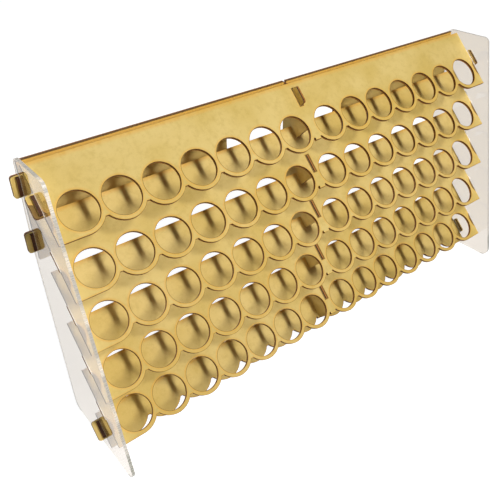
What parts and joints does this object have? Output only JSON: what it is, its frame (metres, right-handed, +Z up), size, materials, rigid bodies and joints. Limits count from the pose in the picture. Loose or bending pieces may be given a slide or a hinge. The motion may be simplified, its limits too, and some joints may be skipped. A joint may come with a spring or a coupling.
{
  "type": "tiered paint rack",
  "caption": "Desktop paint rack: sloping tiers of round pot holes with scalloped lower edges, slotted between two clear leaning side panels, with a rear brace and a middle rib.",
  "frame": {"origin": "on the table under the middle of the rack's bounding box", "axes": "+X to the right along the rack as its user faces it, +Y away from the user towards the brace, +Z up"},
  "size_m": [0.5784, 0.1278, 0.2839],
  "materials": {
    "fibreboard": "satin",
    "clear_acrylic": "gloss"
  },
  "bodies": {
    "root": {"tier_plate_1": "fibreboard", "tier_plate_2": "fibreboard", "tier_plate_3": "fibreboard", "tier_plate_4": "fibreboard", "tier_plate_5": "fibreboard", "stop_plate": "fibreboard", "rear_brace": "fibreboard", "centre_rib": "fibreboard", "key_top_left": "fibreboard", "key_top_right": "fibreboard", "key_stop_left": "fibreboard", "key_stop_right": "fibreboard", "key_brace_upper_left": "fibreboard", "key_brace_upper_right": "fibreboard", "key_brace_lower_left": "fibreboard", "key_brace_lower_right": "fibreboard", "side_panel_left": "clear_acrylic", "side_panel_right": "clear_acrylic"}
  },
  "joints": []
}
